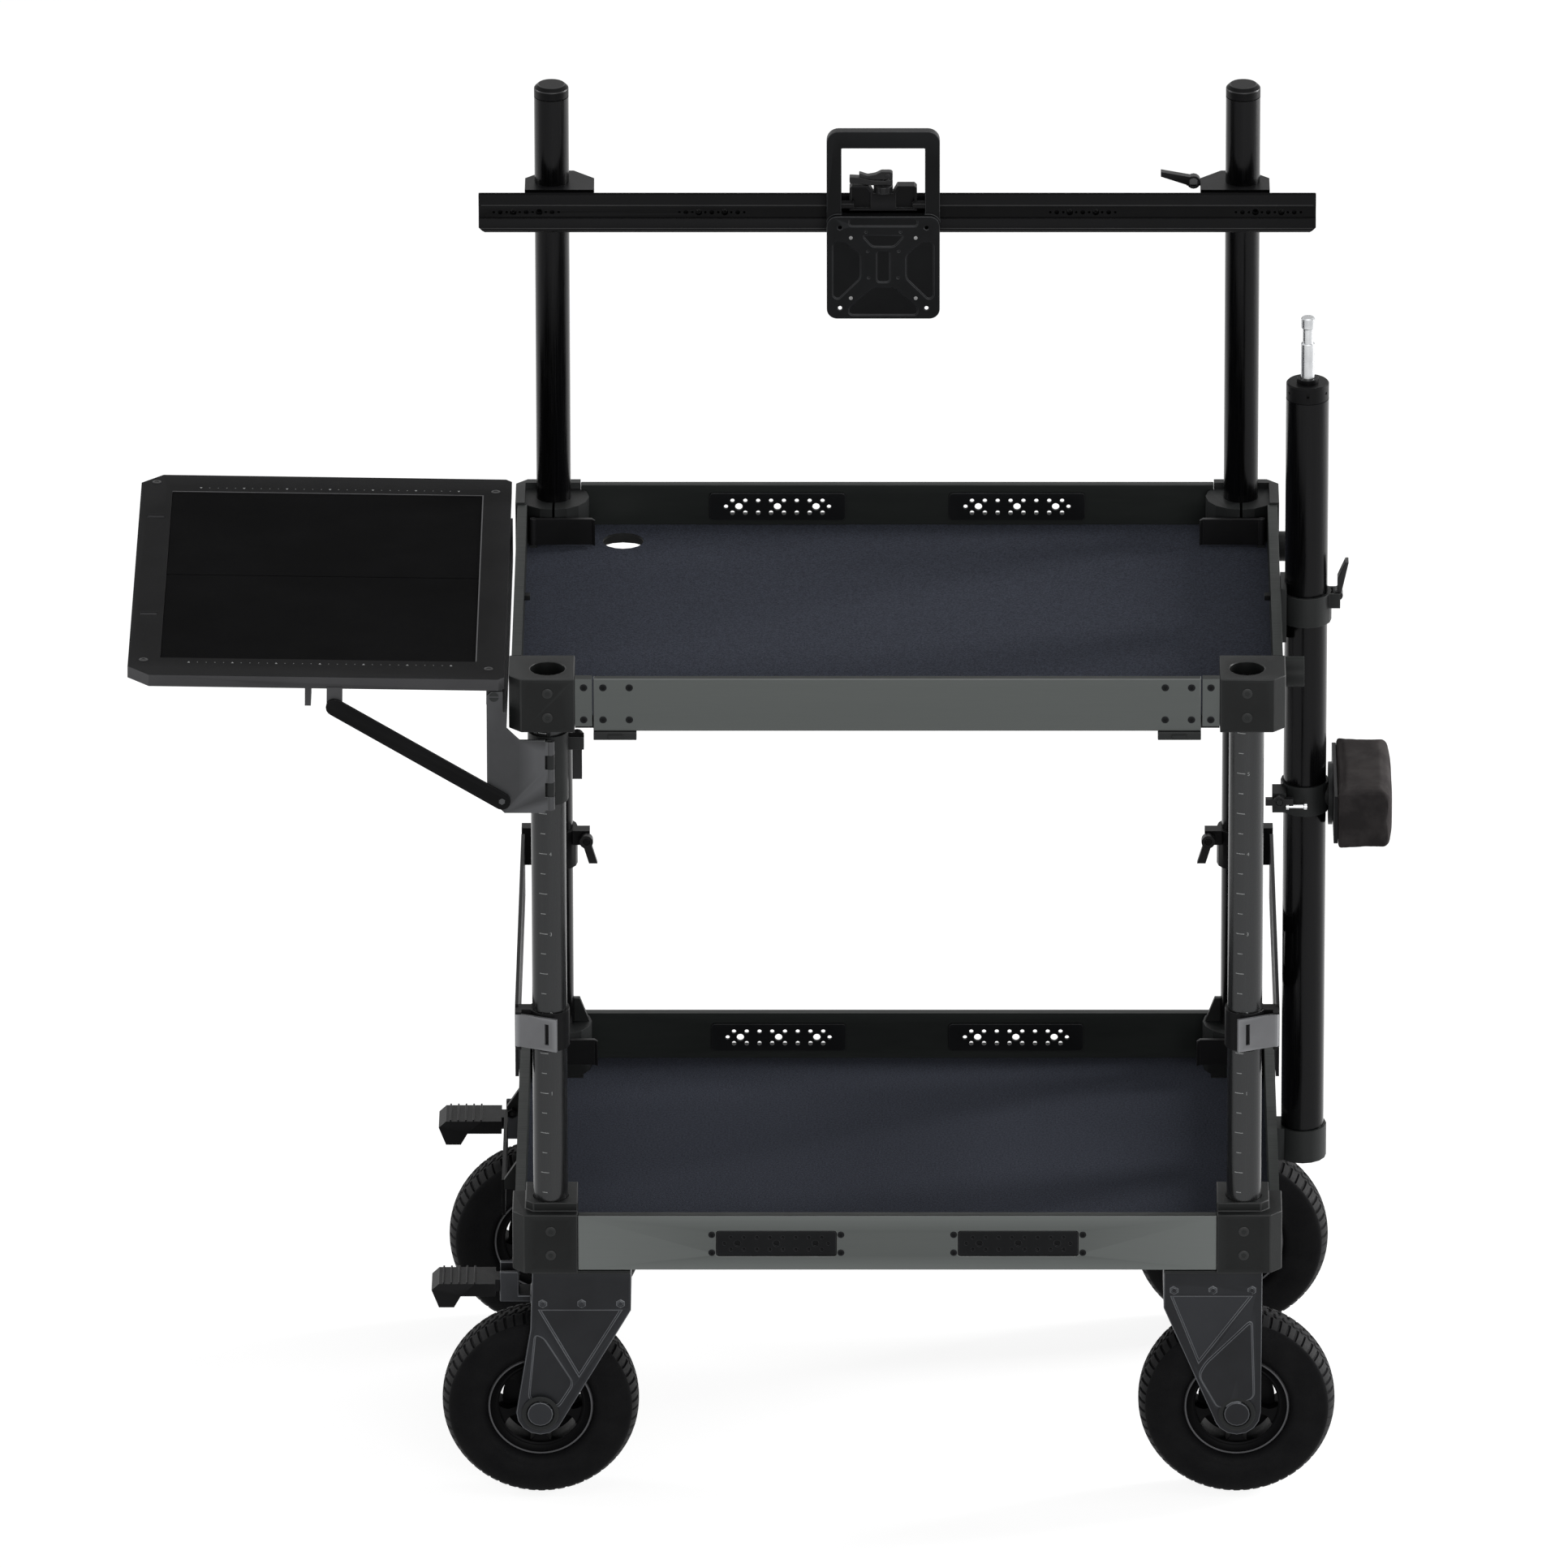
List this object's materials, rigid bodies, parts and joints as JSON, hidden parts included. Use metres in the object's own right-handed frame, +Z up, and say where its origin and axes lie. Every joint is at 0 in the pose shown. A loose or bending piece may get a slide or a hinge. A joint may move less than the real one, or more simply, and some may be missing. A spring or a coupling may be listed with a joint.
{
  "type": "camera_cart",
  "caption": "Two-shelf camera cart with swivel casters, monitor crossbar, folding tablet shelf and stand mast with body pad",
  "frame": {"origin": "middle of the lower shelf deck, on its carpet", "axes": "+Z up, front of the cart towards -Y, tablet shelf towards -X"},
  "size_m": [1.4527, 0.6081, 1.5548],
  "materials": {
    "anodised": "grey-green anodised, fine satin",
    "casting": "cast aluminium under a matte black powder coat",
    "gunmetal": "gunmetal anodised tube, satin",
    "black": "black anodised aluminium, satin",
    "carpet": "short navy heather carpet",
    "rubber": "matte rubber",
    "rim": "cast aluminium, painted satin black",
    "lever": "aluminium, painted satin black",
    "steel": "turned steel, polished",
    "plate": "satin black plate",
    "board": "matte black board with a ribbed mat",
    "suede": "dark brown-grey suede"
  },
  "bodies": {
    "frame": {"lower_corner_front_left": "casting", "lower_corner_front_right": "casting", "lower_corner_back_left": "casting", "lower_corner_back_right": "casting", "lower_front_rail": "anodised", "lower_back_rail": "anodised", "lower_tray": "carpet", "front_post_left": "gunmetal", "back_post_left": "gunmetal", "front_post_right": "gunmetal", "back_post_right": "gunmetal", "upper_corner_front_left": "casting", "upper_corner_front_right": "casting", "upper_corner_back_left": "casting", "upper_corner_back_right": "casting", "upper_back_rail": "anodised", "upper_tray": "carpet", "mast_bracket": "casting"},
    "caster_front_left": {"caster_fork_front_left": "casting"},
    "wheel_front_left": {"wheel_rim_front_left": "rim", "tyre_front_left": "rubber"},
    "pedal_front": {"brake_pedal_front_left": "black"},
    "caster_front_right": {"caster_fork_front_right": "casting"},
    "wheel_front_right": {"wheel_rim_front_right": "rim", "tyre_front_right": "rubber"},
    "caster_back_left": {"caster_fork_back_left": "casting"},
    "wheel_back_left": {"wheel_rim_back_left": "rim", "tyre_back_left": "rubber"},
    "pedal_back": {"brake_pedal_back_left": "black"},
    "caster_back_right": {"caster_fork_back_right": "casting"},
    "wheel_back_right": {"wheel_rim_back_right": "rim", "tyre_back_right": "rubber"},
    "gate": {"front_gate": "anodised"},
    "lower_flip_left": {"lower_flip_lever_left": "lever"},
    "lower_flip_right": {"lower_flip_lever_right": "lever"},
    "upper_flip_left": {"upper_flip_lever_left": "lever"},
    "upper_flip_right": {"upper_flip_lever_right": "lever"},
    "side_left": {"side_plate_left": "black"},
    "latch_left": {"front_latch_left": "plate"},
    "collar_left": {"collar_lever_left": "lever"},
    "side_right": {"side_plate_right": "black"},
    "latch_right": {"front_latch_right": "plate"},
    "collar_right": {"collar_lever_right": "lever"},
    "bar": {"crossbar": "black"},
    "bar_lever": {"crossbar_lever": "lever"},
    "carriage": {"monitor_carriage": "casting"},
    "cam": {"carriage_lever": "lever"},
    "head": {"monitor_head": "plate"},
    "tablet_clamp": {"tablet_post_clamp": "casting"},
    "tablet_lever": {"tablet_clamp_lever": "lever"},
    "bracket": {"swing_bracket": "plate"},
    "board": {"tablet_board": "board"},
    "strut": {"tablet_strut": "black"},
    "mast": {"mast_tube": "black", "mast_spigot": "steel"},
    "mast_lever": {"mast_lever": "lever"},
    "pad_clamp": {"pad_clamp": "casting"},
    "pad": {"body_pad": "suede"},
    "pad_lever": {"pad_lever": "lever"},
    "flap": {"side_flap": "black"}
  },
  "joints": [
    {"name": "swivel_front_left", "type": "hinge", "parent": "frame", "child": "caster_front_left", "pos_m": [-0.365, -0.232, -0.0207], "axis": [0, 0, 1], "continuous": true},
    {"name": "wheel_front_left_axle", "type": "hinge", "parent": "caster_front_left", "child": "wheel_front_left", "pos_m": [-0.4136, -0.232, -0.2017], "axis": [0, 1, 0], "continuous": true},
    {"name": "brake_pedal_front", "type": "hinge", "parent": "caster_front_left", "child": "pedal_front", "pos_m": [-0.451, -0.232, -0.0537], "axis": [0, -1, 0], "range_deg": [0, 12]},
    {"name": "swivel_front_right", "type": "hinge", "parent": "frame", "child": "caster_front_right", "pos_m": [0.365, -0.232, -0.0207], "axis": [0, 0, 1], "continuous": true},
    {"name": "wheel_front_right_axle", "type": "hinge", "parent": "caster_front_right", "child": "wheel_front_right", "pos_m": [0.3935, -0.232, -0.2017], "axis": [0, 1, 0], "continuous": true},
    {"name": "swivel_back_left", "type": "hinge", "parent": "frame", "child": "caster_back_left", "pos_m": [-0.365, 0.232, -0.0207], "axis": [0, 0, 1], "continuous": true},
    {"name": "wheel_back_left_axle", "type": "hinge", "parent": "caster_back_left", "child": "wheel_back_left", "pos_m": [-0.4136, 0.232, -0.2017], "axis": [0, 1, 0], "continuous": true},
    {"name": "brake_pedal_back", "type": "hinge", "parent": "caster_back_left", "child": "pedal_back", "pos_m": [-0.451, 0.232, -0.0537], "axis": [0, -1, 0], "range_deg": [0, 12]},
    {"name": "swivel_back_right", "type": "hinge", "parent": "frame", "child": "caster_back_right", "pos_m": [0.365, 0.232, -0.0207], "axis": [0, 0, 1], "continuous": true},
    {"name": "wheel_back_right_axle", "type": "hinge", "parent": "caster_back_right", "child": "wheel_back_right", "pos_m": [0.3935, 0.232, -0.2017], "axis": [0, 1, 0], "continuous": true},
    {"name": "gate_drop", "type": "hinge", "parent": "frame", "child": "gate", "pos_m": [0, -0.299, 0.6583], "axis": [1, 0, 0], "range_deg": [0, 180]},
    {"name": "lower_flip_left_pivot", "type": "hinge", "parent": "frame", "child": "lower_flip_left", "pos_m": [-0.4234, 0.219, 0.0213], "axis": [0, 0, -1], "range_deg": [0, 90]},
    {"name": "lower_flip_right_pivot", "type": "hinge", "parent": "frame", "child": "lower_flip_right", "pos_m": [0.4234, 0.219, 0.0213], "axis": [0, 0, 1], "range_deg": [0, 90]},
    {"name": "upper_flip_left_pivot", "type": "hinge", "parent": "frame", "child": "upper_flip_left", "pos_m": [-0.4234, 0.219, 0.6823], "axis": [0, 0, -1], "range_deg": [0, 90]},
    {"name": "upper_flip_right_pivot", "type": "hinge", "parent": "frame", "child": "upper_flip_right", "pos_m": [0.4234, 0.219, 0.6823], "axis": [0, 0, 1], "range_deg": [0, 90]},
    {"name": "side_plate_left_height", "type": "slide", "parent": "frame", "child": "side_left", "axis": [0, 0, 1], "range_m": [-0.12, 0.04]},
    {"name": "front_latch_left_hinge", "type": "hinge", "parent": "side_left", "child": "latch_left", "pos_m": [-0.43597, -0.27732, 0.2828], "axis": [0, 0, -1], "range_deg": [0, 100]},
    {"name": "collar_lever_left_pivot", "type": "hinge", "parent": "side_left", "child": "collar_left", "pos_m": [-0.364, 0.245, 0.2963], "axis": [0, -1, 0], "range_deg": [0, 120]},
    {"name": "side_plate_right_height", "type": "slide", "parent": "frame", "child": "side_right", "axis": [0, 0, 1], "range_m": [-0.12, 0.04]},
    {"name": "front_latch_right_hinge", "type": "hinge", "parent": "side_right", "child": "latch_right", "pos_m": [0.43597, -0.27732, 0.2828], "axis": [0, 0, 1], "range_deg": [0, 100]},
    {"name": "collar_lever_right_pivot", "type": "hinge", "parent": "side_right", "child": "collar_right", "pos_m": [0.364, 0.245, 0.2963], "axis": [0, 1, 0], "range_deg": [0, 120]},
    {"name": "crossbar_height", "type": "slide", "parent": "frame", "child": "bar", "axis": [0, 0, 1], "range_m": [-0.29, 0.09]},
    {"name": "crossbar_lever_turn", "type": "hinge", "parent": "bar", "child": "bar_lever", "pos_m": [0.343, 0.262, 1.1213], "axis": [0, 1, 0], "range_deg": [-90, 90]},
    {"name": "carriage_travel", "type": "slide", "parent": "bar", "child": "carriage", "axis": [1, 0, 0], "range_m": [-0.29, 0.32]},
    {"name": "carriage_lever_turn", "type": "hinge", "parent": "carriage", "child": "cam", "pos_m": [-0.0162, 0.197, 1.1393], "axis": [0, 0, 1], "range_deg": [-90, 90]},
    {"name": "monitor_tilt", "type": "hinge", "parent": "carriage", "child": "head", "pos_m": [-0.0162, 0.19, 1.1183], "axis": [1, 0, 0], "range_deg": [-10, 10]},
    {"name": "tablet_shelf_height", "type": "slide", "parent": "frame", "child": "tablet_clamp", "axis": [0, 0, 1], "range_m": [-0.1, 0.005]},
    {"name": "tablet_clamp_lever_turn", "type": "hinge", "parent": "tablet_clamp", "child": "tablet_lever", "pos_m": [-0.367, -0.245, 0.6323], "axis": [0, -1, 0], "range_deg": [0, 90]},
    {"name": "tablet_shelf_swing", "type": "hinge", "parent": "tablet_clamp", "child": "bracket", "pos_m": [-0.397, -0.298, 0.6093], "axis": [0, 0, 1], "range_deg": [0, 90]},
    {"name": "tablet_board_fold", "type": "hinge", "parent": "bracket", "child": "board", "pos_m": [-0.4608, 0, 0.7063], "axis": [0, -1, 0], "range_deg": [0, 88]},
    {"name": "tablet_strut_fold", "type": "hinge", "parent": "bracket", "child": "strut", "pos_m": [-0.4525, -0.305, 0.5806], "axis": [0, -1, 0], "range_deg": [0, 122]},
    {"name": "mast_height", "type": "slide", "parent": "frame", "child": "mast", "axis": [0, 0, 1], "range_m": [0, 0.1]},
    {"name": "mast_lever_flip", "type": "hinge", "parent": "frame", "child": "mast_lever", "pos_m": [0.508, 0, 0.7113], "axis": [0, 1, 0], "range_deg": [0, 90]},
    {"name": "pad_clamp_height", "type": "slide", "parent": "mast", "child": "pad_clamp", "axis": [0, 0, 1], "range_m": [-0.1, 0.02]},
    {"name": "pad_swivel", "type": "hinge", "parent": "pad_clamp", "child": "pad", "pos_m": [0.504, 0, 0.4608], "axis": [1, 0, 0], "range_deg": [-90, 90]},
    {"name": "pad_lever_turn", "type": "hinge", "parent": "pad_clamp", "child": "pad_lever", "pos_m": [0.442, -0.04, 0.4673], "axis": [0, 1, 0], "range_deg": [-90, 90]},
    {"name": "side_flap_lift", "type": "hinge", "parent": "frame", "child": "flap", "pos_m": [-0.4505, 0, 0.0123], "axis": [0, 1, 0], "range_deg": [0, 90]}
  ],
  "couplings": [
    {"joint": "tablet_strut_fold", "follows": "tablet_board_fold", "ratio": 1.38}
  ]
}
